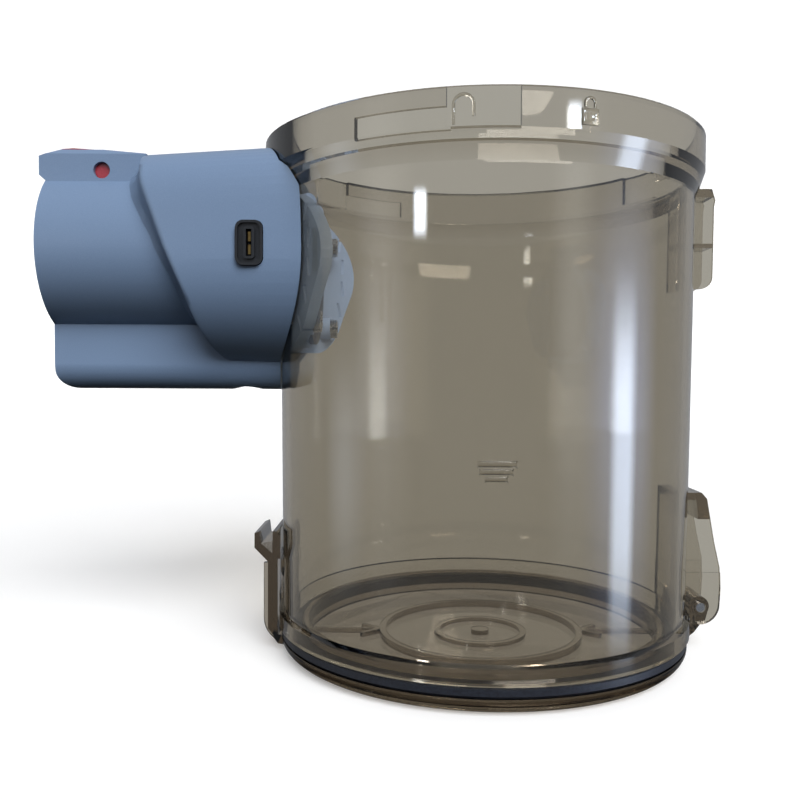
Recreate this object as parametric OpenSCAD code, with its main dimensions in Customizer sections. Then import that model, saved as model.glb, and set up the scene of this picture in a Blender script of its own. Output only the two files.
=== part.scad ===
// Dust bin of a cordless stick vacuum cleaner.
// A clear cup, open at the top, with a hinged lid at its foot and a wand coupling on its side.
// Millimetres. The bin stands on its lid: z = 0 is the lid's underside and Z is the cup's axis.
// The wand coupling points to -X, the lid's hinge and the two rear lugs are at +X.

/* [Cup] */
// Outer radius of the clear wall just under the collar
cup_top_r = 53; // [51:0.5:56]
// Outer radius of the clear wall at its foot
cup_foot_r = 52; // [50.5:0.5:55]
// Thickness of the clear wall
wall_t = 2; // [1.6:0.1:2.4]
// Height of the rim above the lid's underside
rim_z = 129.4; // [124:0.2:150]
// How far the foot flange stands out of the wall
flange_out = 1.2; // [0.8:0.1:1.6]
// Height of the foot flange
flange_h = 4.4; // [3.5:0.1:6]

/* [Collar] */
// How far the collar stands out of the wall
collar_out = 2.1; // [1.6:0.1:3]
// Height of the straight part of the collar
collar_h = 8.4; // [7:0.2:10]
// Height of the cone that joins the collar to the wall
cone_h = 6; // [5:0.5:9]
// Depth of the counterbore that takes the filter unit
mouth_depth = 10; // [9:0.2:12]
// Thickness of the collar around the counterbore
collar_t = 2.2; // [2:0.1:3]
// How far the collar's soft bulge stands out over the coupling
bulge_out = 1.6; // [0.8:0.1:2.2]
// Number of bayonet grooves around the collar
bayonet_n = 3; // [2:1:4]
// Depth of a bayonet groove in the collar's wall
bayonet_d = 1.1; // [0.8:0.1:1.4]
// Angle that the entry of a bayonet groove covers
entry_deg = 16; // [10:1:20]
// Angle that the locked end of a bayonet groove runs on past its entry
lock_deg = 22; // [15:1:30]
// Direction of the entry's far edge of the front groove
bayonet_az = 272.5; // [265:0.5:280]

/* [Lid] */
// Height of the lid's rounded rim
lid_rim_h = 4.2; // [3.5:0.1:5]
// Height of the rounding under the lid's rim
lid_round = 4; // [2.5:0.1:4.1]
// Width of the rounding under the lid's rim
lid_round_w = 5.6; // [4:0.2:7]
// Thickness of the lid's floor
lid_floor_t = 2.4; // [1.8:0.1:2.8]
// Thickness of the rubber seal between lid and cup
seal_t = 2.7; // [2:0.1:3.5]
// Outer radius of the ring rib in the lid
lid_ring_r = 26.8; // [20:0.2:34]
// Radius of the small hub ring in the lid
lid_hub_r = 12.2; // [9:0.2:15]
// Height of the ring rib above the lid's floor
lid_ring_h = 1.8; // [1:0.1:2.4]

/* [Hinge and latch] */
// Distance of the hinge pin's axis from the foot flange
hinge_out = 3.1; // [3.1:0.1:5]
// Height of the hinge pin's axis
hinge_z = 11.4; // [10.8:0.2:13]
// Radius of the steel hinge pin
pin_r = 1.2; // [1:0.05:1.4]
// Half width of the lower bracket
bracket_w = 8; // [7:0.2:10]
// Thickness of each bracket ear
ear_t = 1.8; // [1.5:0.1:2.2]
// Height of the bracket's top
bracket_z = 41.2; // [34:0.2:50]
// Half width of the latch
latch_w = 9; // [7:0.5:11]
// Height of the latch's finger tab
latch_top_z = 30.9; // [28.5:0.1:36]
// Underside of the latch's tooth
tooth_z = 23.8; // [21:0.1:25]

/* [Rear lug] */
// Half width of the upper lug
lug_w = 5; // [4:0.2:8]
// Height of the upper lug
lug_h = 26; // [20:0.5:32]
// Distance of the upper lug's top below the rim
lug_drop = 10; // [9:0.2:14]
// How far the upper lug stands out of the wall
lug_out = 6; // [5:0.1:8]

/* [Wand coupling] */
// Radius of the wand socket
socket_r = 18.4; // [17.5:0.1:18.8]
// Outer radius of the socket's barrel
barrel_r = 21.2; // [20.6:0.1:22]
// Distance of the socket's axis below the rim
axis_drop = 26.6; // [26:0.2:30]
// Distance of the socket's mouth from the cup's axis
reach = 109.6; // [105:0.2:120]
// Length of the air duct between the wand socket and the cup's wall
duct_len = 13.4; // [11:0.2:16]
// Radius of the air duct where it meets the cup
port_r = 15.6; // [14:0.1:16]
// Distance of the port's centre below the socket's axis
port_drop = 7.3; // [6.5:0.1:8]
// Half width of the cowl at the cup
cowl_w = 29.8; // [28:0.2:30]
// Thickness of the cowl's skin
skin_t = 2.2; // [1.8:0.1:2.6]
// Half width of the connector tunnel under the barrel
tunnel_w = 9; // [8:0.2:10]
// Underside of the connector tunnel, below the socket's axis
tunnel_drop = 35.6; // [34:0.2:38]

/* [Release button] */
// Half width of the button's housing
block_w = 14.2; // [13.8:0.1:15]
// Thickness of a cheek of the button's housing
cheek_t = 2.1; // [1.8:0.1:2.4]
// Radius of the button's two trunnions
trunnion_r = 2; // [1.8:0.05:2.1]
// Distance of the trunnions from the socket's mouth
trunnion_in = 14; // [13:0.2:15]
// Wire thickness of the button's spring
spring_wire = 0.5; // [0.4:0.05:0.6]

/* [Side socket] */
// Width of the small socket in the cowl's side
side_w = 6.6; // [5:0.2:8]
// Height of the small socket in the cowl's side
side_h = 10.6; // [8:0.2:12]
// Distance of the small socket's centre from the cup's axis
side_in = 56.8; // [56.6:0.2:62]

/* [Fits] */
// Clearance between the coupling and the cup
seat_gap = 0.3; // [0.2:0.05:0.4]
// Radial clearance of a pin that turns in its hole
run_gap = 0.05; // [0.03:0.01:0.08]
// Clearance between pieces that are pushed together
push_gap = 0.1; // [0.05:0.01:0.15]

/* [Hidden] */
$fn = 96;

clear_plastic = [0.46, 0.43, 0.33, 0.45];
satin_blue = [0.42, 0.49, 0.60];

// Heights and radii that follow from the sizes above
collar_r = cup_top_r + collar_out;
mouth_r = collar_r - collar_t;
collar_z = rim_z - collar_h;
cone_z = collar_z - cone_h;
shoulder_z = rim_z - mouth_depth;
foot_z = lid_rim_h + seal_t + push_gap;
flange_z = foot_z + flange_h;
flange_r = cup_foot_r + flange_out;
axis_z = rim_z - axis_drop;
port_z = axis_z - port_drop;
hinge_x = flange_r + hinge_out;
tunnel_z = axis_z - tunnel_drop;
eps = 0.01;
// Direction of the seam of the cup's and the lid's turned surfaces: away from lugs and grooves
seam = 60;

// Outer radius of the drafted wall at height z
function wall_r(z) = cup_foot_r + (cup_top_r - cup_foot_r) * (z - foot_z) / (cone_z - foot_z);

// Where the wall's outer side is at the height of the port
port_x = -wall_r(port_z);

// Point at radius r and angle a from a centre
function polar(c, r, a) = [c[0] + r * cos(a), c[1] + r * sin(a)];

// Points of an arc from angle a1 to angle a2
function arc(c, r, a1, a2, n = 8) = [for (i = [0:n]) polar(c, r, a1 + (a2 - a1) * i / n)];

// Ring sector between two radii, two heights and two angles
module ring_sector(r1, r2, z1, z2, a1, a2) {
    rotate([0, 0, a1])
        rotate_extrude(angle = a2 - a1)
            translate([r1, z1]) square([r2 - r1, z2 - z1]);
}

// Extrudes an XZ outline along Y, from y1 to y2
module side_plate(y1, y2) {
    translate([0, y2, 0])
        rotate([90, 0, 0])
            linear_extrude(y2 - y1) children();
}

// Extrudes a YZ outline along X, from x1 to x2
module cross_section(x1, x2) {
    translate([x1, 0, 0])
        rotate([90, 0, 90])
            linear_extrude(x2 - x1) children();
}

// Cylinder along X and along Y
module rod_x(r, x1, x2, y, z) {
    translate([x1, y, z]) rotate([0, 90, 0]) cylinder(r = r, h = x2 - x1);
}

module rod_y(r, y1, y2, x, z) {
    translate([x, y2, z]) rotate([90, 0, 0]) cylinder(r = r, h = y2 - y1);
}

// Rectangle with round corners
module round_rect(w, h, r) {
    hull()
        for (x = [-1, 1], y = [-1, 1])
            translate([x * (w / 2 - r), y * (h / 2 - r)]) circle(r, $fn = 32);
}

// Cup

// Half section of the cup's outer side, let out by gap, down to the axis
module cup_outline(gap = 0) {
    polygon([[0, foot_z], [flange_r + gap, foot_z], [flange_r + gap, flange_z - flange_out / 2],
        [wall_r(flange_z) + gap, flange_z], [cup_top_r + gap, cone_z],
        [collar_r + gap, collar_z], [collar_r + gap, rim_z - 0.4],
        [collar_r + gap - 0.4, rim_z], [0, rim_z]]);
}

// The collar swells a little over the coupling: a smaller cylinder set off to -X
bulge_x = 5.7;
module collar_bulge(gap = 0) {
    r = collar_r + bulge_out - bulge_x + gap;
    translate([-bulge_x, 0, 0])
        rotate_extrude($fn = 180)
            polygon([[0, cone_z + 1], [r - collar_out - bulge_out - 0.5, cone_z + 1],
                [r, collar_z + 0.3], [r, rim_z - 0.3], [0, rim_z - 0.3]]);
}

module cup_hollow_outline() {
    polygon([[0, foot_z - 1], [wall_r(foot_z) - wall_t, foot_z - 1],
        [wall_r(foot_z) - wall_t, foot_z], [cup_top_r - wall_t, cone_z],
        [cup_top_r - wall_t, shoulder_z], [mouth_r, shoulder_z], [mouth_r, rim_z + 1],
        [0, rim_z + 1]]);
}

// Half section of the space inside the wall, let in by gap
module inner_outline(gap) {
    polygon([[0, foot_z], [cup_foot_r - wall_t - gap, foot_z], [cup_top_r - wall_t - gap, cone_z],
        [cup_top_r - wall_t - gap, shoulder_z], [0, shoulder_z]]);
}

// One bayonet groove: an entry from the rim, and a channel that runs on under a land
module bayonet_groove() {
    land_h = 3.8;
    floor_z = shoulder_z + 1.6;
    ring_sector(mouth_r - 1, mouth_r + bayonet_d + 0.1, floor_z + 0.4, rim_z + 1,
        bayonet_az - entry_deg, bayonet_az);
    ring_sector(mouth_r - 1, mouth_r + bayonet_d, floor_z, rim_z - land_h,
        bayonet_az - entry_deg - lock_deg, bayonet_az - entry_deg + 1);
}

// Outline of the upper lug, in XZ
module lug_outline() {
    top = rim_z - lug_drop;
    foot = top - lug_h;
    out = cup_top_r + lug_out;
    polygon(concat([[cup_top_r - wall_t / 2, top], [out - 0.6, top], [out + 0.3, top - 2.9],
        [out, top - 4.5]], arc([out - 3.3, foot + 3.5], 3.2, 0, -80), [[cup_top_r - wall_t, foot]]));
}

module upper_lug() {
    rib_t = 1.1;
    difference() {
        side_plate(-lug_w, lug_w) lug_outline();
        side_plate(-lug_w + ear_t - 0.4, lug_w - ear_t + 0.4)
            translate([0, rim_z - lug_drop - lug_h - 1]) square([cup_top_r + lug_out + 2, lug_h - 1]);
    }
    intersection() {
        side_plate(-lug_w, lug_w) lug_outline();
        for (drop = [15])
            translate([cup_top_r - wall_t / 2, -lug_w, rim_z - lug_drop - drop])
                cube([lug_out + 3, 2 * lug_w, rib_t]);
    }
}

// Outline of the lower bracket, in XZ: it ends in a round boss about the hinge pin
module bracket_outline() {
    out = hinge_x + 4.8;
    corner = 5.2;
    wall = wall_r(hinge_z) - wall_t / 2;
    polygon(concat([[wall, foot_z], [out - corner, foot_z]],
        arc([out - corner, foot_z + corner], corner, -90, 0),
        [[out + 0.2, hinge_z + 5], [out, hinge_z + 10.4], [out - 1.5, hinge_z + 17],
        [out - 2.9, bracket_z - 5], [out - 3.5, bracket_z - 1.6], [out - 4.9, bracket_z],
        [wall, bracket_z]]));
}

module lower_bracket() {
    web_h = 7;
    inner = bracket_w - ear_t;
    difference() {
        side_plate(-bracket_w, bracket_w) bracket_outline();
        // the space between the ears, open at the foot for the lid's arm
        side_plate(-inner, inner)
            translate([0, foot_z - 1]) square([hinge_x + 9, bracket_z - web_h - foot_z + 1]);
        // the web at the top is a roof with a back
        side_plate(-inner, inner)
            polygon([[0, bracket_z - web_h - 1], [hinge_x - 0.6, bracket_z - web_h - 1],
                [hinge_x - 1.2, bracket_z - 2], [0, bracket_z - 2]]);
        // the ears are a little thicker below this step
        for (side = [-1, 1])
            translate([0, side * (bracket_w + 0.6) - 1, hinge_z + 9.2]) cube([hinge_x + 9, 2, 40]);
    }
}

// The ledge that the latch's tooth snaps over
module latch_ledge() {
    nose = wall_r(tooth_z) + 0.6;
    rotate([0, 0, 180 - asin((latch_w - 1) / cup_foot_r)])
        rotate_extrude(angle = 2 * asin((latch_w - 1) / cup_foot_r))
            polygon([[nose - 1.6, tooth_z - 5], [nose - 0.6, tooth_z - 5], [nose, tooth_z - 3.4],
                [nose, tooth_z - 0.4], [nose - 1.6, tooth_z - 0.4]]);
}

// Places of the four screws that hold the inner ring and the coupling to the wall
screw_y = 19;
screw_dz = 11.5;
screw_r = 1.4;
module at_screws() {
    for (y = [-1, 1], z = [-1, 1]) translate([0, y * screw_y, port_z + z * screw_dz]) children();
}

module bin_shell() {
    color(clear_plastic)
        difference() {
            union() {
                difference() {
                    union() {
                        rotate([0, 0, seam]) rotate_extrude($fn = 180) cup_outline();
                        collar_bulge();
                        upper_lug();
                        lower_bracket();
                    }
                    rotate([0, 0, seam]) rotate_extrude($fn = 180) cup_hollow_outline();
                }
                latch_ledge();
            }
            for (i = [0:bayonet_n - 1]) rotate([0, 0, 360 * i / bayonet_n]) bayonet_groove();
            // port for the air, and the holes of its screws
            rod_x(port_r + 1.6, -cup_top_r - 2, -30, 0, port_z);
            at_screws() rod_x(screw_r + 0.3, -cup_top_r - 2, -30, 0, 0);
            rod_y(pin_r + run_gap, -bracket_w - 1, bracket_w + 1, hinge_x, hinge_z);
        }
}

// Lid

plug_r = cup_foot_r - wall_t - 2.7;
plug_t = 1.8;
plug_z = foot_z + 1.6;
lid_r = cup_foot_r + 0.6;
lid_top = lid_floor_t;

module lid_dish() {
    rotate([0, 0, seam])
        rotate_extrude($fn = 180)
        polygon(concat([[0, 0]], [for (a = [0:11.25:90])
            [lid_r - lid_round_w * (1 - sin(a)), lid_round * (1 - cos(a))]],
            [[lid_r, lid_rim_h], [plug_r, lid_rim_h], [plug_r, plug_z - 0.5],
            [plug_r - 0.5, plug_z], [plug_r - plug_t, plug_z], [plug_r - plug_t, lid_top],
            [0, lid_top]]));
}

module lid_ribs() {
    rib_t = 1.6;
    for (r = [lid_ring_r, lid_hub_r])
        rotate_extrude()
            translate([r - rib_t, lid_top - eps])
                square([rib_t, lid_ring_h * (r == lid_ring_r ? 1 : 0.6)]);
    translate([0, 0, lid_top - eps]) cylinder(r = 2.4, h = lid_ring_h * 0.7);
    // a rib on each side, from the ring to the rim, with a short fork at the ring
    for (side = [0, 180], fork = [-1, 0, 1])
        rotate([0, 0, side])
            translate([lid_ring_r - 0.4, 0, lid_top - eps])
                rotate([0, 0, 38 * fork])
                    translate([0, -0.6, 0])
                        cube([fork == 0 ? plug_r - plug_t - lid_ring_r + 0.8 : 6.5, 1.2,
                            lid_ring_h * 0.7]);
}

// Outline of the latch, in XZ: stem, finger tab and tooth
latch_out = flange_r + 2.3;
module latch_outline() {
    tab_x = -latch_out - 3.3;
    polygon([[-lid_r + 3, 1.3], [-lid_r - 0.2, 1.9], [-latch_out, 5.5],
        [-latch_out, tooth_z - 0.6], [tab_x, latch_top_z - 4.3], [tab_x, latch_top_z - 0.5],
        [tab_x + 1.3, latch_top_z], [tab_x + 1.7, latch_top_z - 3.2],
        [-latch_out + 1.2, tooth_z + 1.5], [-latch_out + 1.4, latch_top_z],
        [-cup_foot_r - 1.1, latch_top_z], [-cup_foot_r + 1, latch_top_z - 3],
        [-cup_foot_r + 1, tooth_z], [-flange_r, tooth_z - 1.5], [-flange_r + 3, 5],
        [-flange_r + 3, 1.3]]);
}

// Outline of the gusset on each side of the latch's stem, in XZ
module gusset_outline() {
    out = latch_out + 0.9;
    polygon(concat([[-lid_r + 4, 1.2]], arc([-out + 6.5, 8.5], 6.5, -120, -180, 6),
        [[-out, tooth_z - 1], [-flange_r, tooth_z - 1], [-flange_r, 6], [-lid_r + 4, 4]]));
}

module latch() {
    gusset_t = 1.5;
    difference() {
        union() {
            side_plate(-latch_w, latch_w) latch_outline();
            side_plate(-latch_w, -latch_w + gusset_t) gusset_outline();
            side_plate(latch_w - gusset_t, latch_w) gusset_outline();
        }
        // clear of the flange and the wall, and the tooth clear of its ledge
        translate([0, 0, lid_rim_h]) cylinder(r = flange_r + 0.4, h = tooth_z - lid_rim_h);
        translate([0, 0, lid_rim_h]) cylinder(r = wall_r(tooth_z) + 0.75, h = latch_top_z);
    }
}

// Outline of the lid's hinge arm, in XZ: it curls from the rim up to the pin
knuckle_r = 2.6;
module hinge_arm_outline() {
    difference() {
        union() {
            translate([hinge_x, hinge_z]) circle(knuckle_r, $fn = 64);
            polygon([[lid_r - 4, 1.2], [lid_r - 0.6, 1.6], [hinge_x - 0.9, 4.4],
                [hinge_x + 1.7, 7.9], [hinge_x + knuckle_r, hinge_z], [hinge_x, hinge_z],
                [hinge_x - knuckle_r, hinge_z], [flange_r + 0.5, lid_rim_h + 1.8],
                [lid_r + 0.3, lid_rim_h - 0.45], [lid_r - 4, lid_rim_h - 0.45]]);
        }
        translate([hinge_x, hinge_z]) circle(pin_r + run_gap, $fn = 64);
    }
}

module bottom_lid() {
    arm_w = bracket_w - ear_t - 0.4;
    color(clear_plastic) {
        lid_dish();
        lid_ribs();
        latch();
        side_plate(-arm_w, arm_w) hinge_arm_outline();
    }
}

module lid_seal() {
    bead = 0.6;
    color([0.13, 0.15, 0.20])
        rotate_extrude($fn = 180)
            polygon([[plug_r + push_gap, lid_rim_h], [lid_r - bead, lid_rim_h],
                [lid_r, lid_rim_h + bead], [lid_r, lid_rim_h + seal_t - bead],
                [lid_r - bead, lid_rim_h + seal_t], [plug_r + push_gap, lid_rim_h + seal_t]]);
}

module hinge_pin() {
    half = bracket_w - 0.3;
    color("silver") rod_y(pin_r, -half, half, hinge_x, hinge_z);
}

// Wand coupling

mouth_x = -reach;
socket_end_x = port_x - duct_len;
block_top = axis_z + 23.5;
block_foot = axis_z + 14.7;
block_end_x = mouth_x + 17.5;
trunnion_x = mouth_x + trunnion_in;
trunnion_z = axis_z + 18.5;
cowl_drop = 1.8;
cowl_z = axis_z - cowl_drop;

// Point of the cowl's section at angle a about its middle, for a cowl of size s.
// The lower half is round, the upper half is an arch with fuller shoulders.
function cowl_point(a, s, t = 0) =
    let (w = cowl_w * s - t, p = sin(a) > 0 ? 0.5 : 0.94,
        h = (sin(a) > 0 ? (cowl_w - 2.4) * (0.25 + 0.75 * s) : (cowl_w - 1.4) * (0.5 + s / 2)) - t)
    [w * sign(cos(a)) * pow(abs(cos(a)), p), cowl_z + h * sign(sin(a)) * pow(abs(sin(a)), p)];

// The slanting front edge of the cowl: where the skin ends and where the hollow edge meets
// the barrel, as distance from the cup's axis against the direction seen along the barrel
skin_edge = [[-90, 62], [-74, 65.6], [-60, 68], [-46, 70.2], [-30, 72.4], [-14, 75.3], [0, 78],
    [15, 80.5], [30, 83.3], [50, 84.5], [90, 84.5]];
foot_edge = [[-90, 70], [-74, 75], [-64, 77.5], [-22, 80.5], [9, 85.8], [30, 90], [42, 91.8],
    [60, 92.5], [90, 92.5]];

// How far the cowl has narrowed at x: 1 at the cup, less towards the mouth
function cowl_size(x) = min(1, 1 + (x - port_x - 0.8) * 0.0044);

cowl_n = 64;
hollow_u = [0, 0.05, 0.14, 0.3, 0.55, 1];
hollow_g = [0.03, 0.14, 0.42, 0.72, 0.92, 1];

// Direction of the section's point at angle a, seen from the barrel's axis
function cowl_dir(a) = let (p = cowl_point(a, 0.9)) atan2(p[1] - axis_z, abs(p[0]));

// One ring of points on the cowl's skin, at distance d from its edge, or at x = -30
function skin_ring(d, t = 0) = [for (i = [0:cowl_n - 1])
    let (a = 360 * i / cowl_n, x = d < 0 ? -30 : d - lookup(cowl_dir(a), skin_edge),
        p = cowl_point(a, cowl_size(x), t))
    [x, p[0], p[1]]];

// One ring of points in the hollow edge that runs from the skin down to the barrel
function hollow_ring(j) = [for (i = [0:cowl_n - 1])
    let (a = 360 * i / cowl_n, b = cowl_dir(a), x1 = -lookup(b, skin_edge), x2 = -lookup(b, foot_edge),
        p = cowl_point(a, cowl_size(x1)), d = norm([p[0], p[1] - axis_z]),
        r = d + (barrel_r - 0.4 - d) * hollow_g[j])
    [x1 + (x2 - x1) * hollow_u[j], p[0] * r / d, axis_z + (p[1] - axis_z) * r / d]];

// Closed skin through a list of rings with the same number of points
module skin(rings) {
    n = len(rings[0]);
    m = len(rings);
    points = [for (r = rings, p = r) p];
    sides = [for (j = [0:m - 2], i = [0:n - 1], h = [0, 1])
        let (a = j * n + i, b = j * n + (i + 1) % n)
        h == 0 ? [a, b, b + n] : [a, b + n, a + n]];
    caps = [[for (i = [n - 1:-1:0]) i], [for (i = [0:n - 1]) (m - 1) * n + i]];
    polyhedron(concat(points, [[rings[m - 1][0][0], 0, axis_z]]),
        concat(sides, [caps[0]], [for (i = [0:n - 1])
            [(m - 1) * n + i, (m - 1) * n + (i + 1) % n, n * m]]));
}

module cowl_solid() {
    skin(concat([skin_ring(-1), skin_ring(1.2)], [for (j = [0:len(hollow_u) - 1]) hollow_ring(j)]));
}

module cowl_hollow() {
    skin([skin_ring(-1, skin_t), skin_ring(2 * skin_t, skin_t)]);
}

module tunnel_section(w, drop, r) {
    z = axis_z - drop;
    hull() {
        for (y = [-1, 1]) translate([y * (w - r), z + r]) circle(r, $fn = 48);
        translate([-w, z + 10]) square([2 * w, 1]);
    }
    translate([-w, z + 10]) square([2 * w, axis_z - 14 - z - 10]);
}

// The air duct inside the coupling, from the socket's end to the cup
module duct(grow) {
    hull() {
        rod_x(socket_r - 1.2 + grow, socket_end_x - eps, socket_end_x + 4, 0, axis_z);
        rod_x(port_r + grow, port_x - 0.2, port_x + 0.8, 0, port_z);
    }
    rod_x(port_r + grow, port_x - 0.2, -30, 0, port_z);
}

// The flange that backs the gasket and joins the bosses to the duct: it follows the wall
boss_r = 2.6;
flange_t = 2.4;
module port_flange() {
    intersection() {
        rotate_extrude($fn = 180) cup_outline(gasket_t + flange_t);
        rod_x(gasket_r + 0.9, port_x - 6, -30, 0, port_z);
    }
}

module button_block() {
    lip = 1.5;
    intersection() {
        side_plate(-block_w, block_w)
            polygon([[mouth_x - lip, block_foot + 2.6], [mouth_x - lip, block_top - 1.6],
                [mouth_x + 3.6, block_top + 0.3], [trunnion_x, block_top + 0.3],
                [block_end_x + 7.5, block_top - 0.9], [block_end_x + 7.5, block_foot],
                [mouth_x + 1.5, block_foot]]);
        cross_section(mouth_x - lip, block_end_x + 7.5)
            polygon([[-block_w, block_foot - 1], [block_w, block_foot - 1],
                [block_w, block_top - 1], [block_w - 1.3, block_top + 0.3],
                [1.3 - block_w, block_top + 0.3], [-block_w, block_top - 1]]);
    }
}

// Pocket of the button, open at the top, and the slot of its catch through the barrel
catch_w = 3.6;
catch_end = trunnion_x + 11;
hub_end = trunnion_x + 3.2;
module catch_slot() {
    translate([trunnion_x - 2, -catch_w - 0.5, axis_z])
        cube([catch_end + 1 - trunnion_x + 2, 2 * catch_w + 1, 22.4]);
}

module button_pocket() {
    inner = block_w - cheek_t;
    translate([pad_x - 1, -inner, axis_z]) cube([hub_end + 1.9 - pad_x, 2 * inner, 40]);
    catch_slot();
}

module inlet_housing() {
    color(satin_blue)
        difference() {
            union() {
                difference() {
                    union() {
                        difference() {
                            cowl_solid();
                            cowl_hollow();
                        }
                        button_block();
                    }
                    button_pocket();
                }
                difference() {
                    union() {
                        rod_x(barrel_r, mouth_x, socket_end_x + 2, 0, axis_z);
                        duct(2.2);
                        port_flange();
                        // bosses for the ring's screws
                        at_screws() rod_x(boss_r, port_x - 4.2, -30, 0, 0);
                        tunnel();
                    }
                    catch_slot();
                    // room for the trunnions' roots, and the seat of the spring
                    for (side = [-1, 1])
                        rod_y(trunnion_r + 0.5, side * 11.2 - 0.9, side * 11.2 + 0.9,
                            trunnion_x, trunnion_z);
                    translate([spring_x, 0, axis_z + socket_r + 1.1]) cylinder(r = 2.9, h = 6);
                }
            }
            // wand socket, seal seat and duct
            rod_x(socket_r, mouth_x - 3, socket_end_x, 0, axis_z);
            rod_x(socket_r + 0.5, mouth_x - 3, mouth_x, 0, axis_z);
            rod_x(socket_r - 0.7, socket_end_x - eps, socket_end_x + 3, 0, axis_z);
            duct(0);
            at_screws() rod_x(screw_r - 0.2, port_x - 3.2, -30, 0, 0);
            rod_y(trunnion_r + run_gap, -block_w - 1, block_w + 1, trunnion_x, trunnion_z);
            side_window();
            tunnel_cavity();
            // the saddle that follows the cup
            rotate_extrude($fn = 180) cup_outline(seat_gap);
            collar_bulge(seat_gap);
            translate([0, 0, collar_z + 1]) cylinder(r = collar_r + seat_gap, h = 30, $fn = 180);
            // room for the gasket around the port
            intersection() {
                rotate_extrude($fn = 180) cup_outline(gasket_t + push_gap);
                rod_x(gasket_r + push_gap, -70, -20, 0, port_z);
            }
        }
}

module tunnel() {
    hollow_r = 12;
    difference() {
        intersection() {
            cross_section(mouth_x, -30) tunnel_section(tunnel_w, tunnel_drop, 6.5);
            side_plate(-tunnel_w, tunnel_w)
                polygon(concat([[-30, axis_z], [mouth_x, axis_z]],
                    arc([mouth_x + 4.5, tunnel_z + 4.5], 4.5, 180, 270), [[-30, tunnel_z]]));
        }
        // shallow hollow across the underside, near the cup
        rod_y(hollow_r, -20, 20, port_x - 8.8, tunnel_z - hollow_r + 0.7);
    }
}

// Space for the contacts and leads in the tunnel, open at the wand's end
cavity_w = 6.4;
cavity_h = 10.4;
cavity_z = tunnel_z + 2.6;
module tunnel_cavity() {
    difference() {
        translate([mouth_x - 1, -cavity_w, cavity_z])
            cube([port_x - 4.2 - mouth_x + 1, 2 * cavity_w, cavity_h]);
        at_cover_screws() cylinder(r = 2.2, h = cavity_h + 2);
    }
    lead_passage();
    cover_window(0);
    at_cover_screws() translate([0, 0, -1]) cylinder(r = 1, h = 8);
}

// The leads leave the tunnel through this hole in its side and go up behind the cowl's skin
module lead_passage() {
    translate([port_x - 10.2, -tunnel_w - 1, cavity_z + cavity_h - 2.8]) cube([4.6, 4.4, 3]);
}

// Cover that closes the tunnel from below, and its window
cover_x1 = mouth_x + 13;
cover_x2 = port_x - 14.8;
cover_w = 4.6;
cover_t = 1.5;
module cover_window(gap) {
    translate([cover_x1 + gap, -cover_w + gap, tunnel_z - 1])
        cube([cover_x2 - cover_x1 - 2 * gap, 2 * (cover_w - gap), cover_t + 1]);
}

module at_cover_screws() {
    for (x = [cover_x1 + 3, cover_x2 - 3]) translate([x, 0, tunnel_z + cover_t]) children();
}

module under_cover() {
    color(satin_blue)
        difference() {
            intersection() {
                tunnel();
                cover_window(push_gap);
            }
            at_cover_screws() translate([0, 0, -cover_t - 1]) {
                cylinder(r = 1.1, h = cover_t + 2);
                cylinder(r = 2, h = 1.75);
            }
        }
}

module cover_screws() {
    color("silver")
        at_cover_screws() {
            difference() {
                translate([0, 0, -cover_t + 0.1]) cylinder(r = 1.9, h = 0.6);
                for (turn = [0, 90])
                    rotate([0, 0, turn])
                        translate([-1.3, -0.25, -cover_t]) cube([2.6, 0.5, 0.4]);
            }
            translate([0, 0, -cover_t + 0.6]) cylinder(r = 0.95, h = 7);
        }
}

module port_gasket_outline() {
    difference() {
        circle(gasket_r);
        circle(port_r + 1.7);
    }
}

gasket_t = 1.2;
gasket_r = port_r + 5;

module port_gasket() {
    color([0.1, 0.1, 0.11])
        intersection() {
            difference() {
                rotate_extrude($fn = 180) cup_outline(gasket_t);
                rotate_extrude($fn = 180) cup_outline(push_gap);
            }
            translate([-70, 0, port_z]) rotate([0, 90, 0])
                linear_extrude(40) port_gasket_outline();
        }
}

// Side socket: a small black connector in the cowl's side

side_y = -cowl_w * cowl_size(-side_in) + 0.4;
side_z = axis_z - 1.2;
module side_window() {
    translate([-side_in, -20, side_z]) rotate([90, 0, 0]) linear_extrude(20) round_rect(side_w, side_h, 2);
}

module side_socket() {
    depth = 5.2;
    color([0.09, 0.1, 0.12])
        difference() {
            translate([-side_in, side_y + depth, side_z]) rotate([90, 0, 0])
                linear_extrude(depth) round_rect(side_w - 2 * push_gap, side_h - 2 * push_gap, 1.9);
            // a flat recess with a raised lip about the slot
            translate([-side_in, side_y + 0.8, side_z]) rotate([90, 0, 0])
                linear_extrude(2)
                    difference() {
                        round_rect(side_w - 1.4, side_h - 1.4, 1.4);
                        round_rect(2.7, 7.4, 0.8);
                    }
            translate([-side_in - 0.65, side_y - 1, side_z - 3.1]) cube([1.3, 4.4, 6.2]);
            for (z = [contact_gap / 2 - 0.02, -contact_gap / 2 - 2.22])
                translate([-side_in - 0.32, side_y, side_z + z]) cube([0.64, 9, 2.24]);
        }
}

// Two flat contacts, one above the other
contact_gap = 0.8;
module socket_contacts() {
    h = 2.2;
    color("tan")
        for (z = [contact_gap / 2, -contact_gap / 2 - h])
            translate([-side_in - 0.3, side_y + 1, side_z + z]) cube([0.6, 6.6, h]);
}

// Inner ring of the port: a plate that follows the inside of the wall

ring_w = 32.5;
ring_t = 1.9;
ring_top = port_z + 17.9;
ring_foot = port_z - 18.5;
seat_x = port_x + 7.2;
flap_pin_x = seat_x + 0.5;
flap_pin_z = port_z + port_r + 3.9;
flap_pin_r = 0.8;
flap_w = 6.4;

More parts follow.
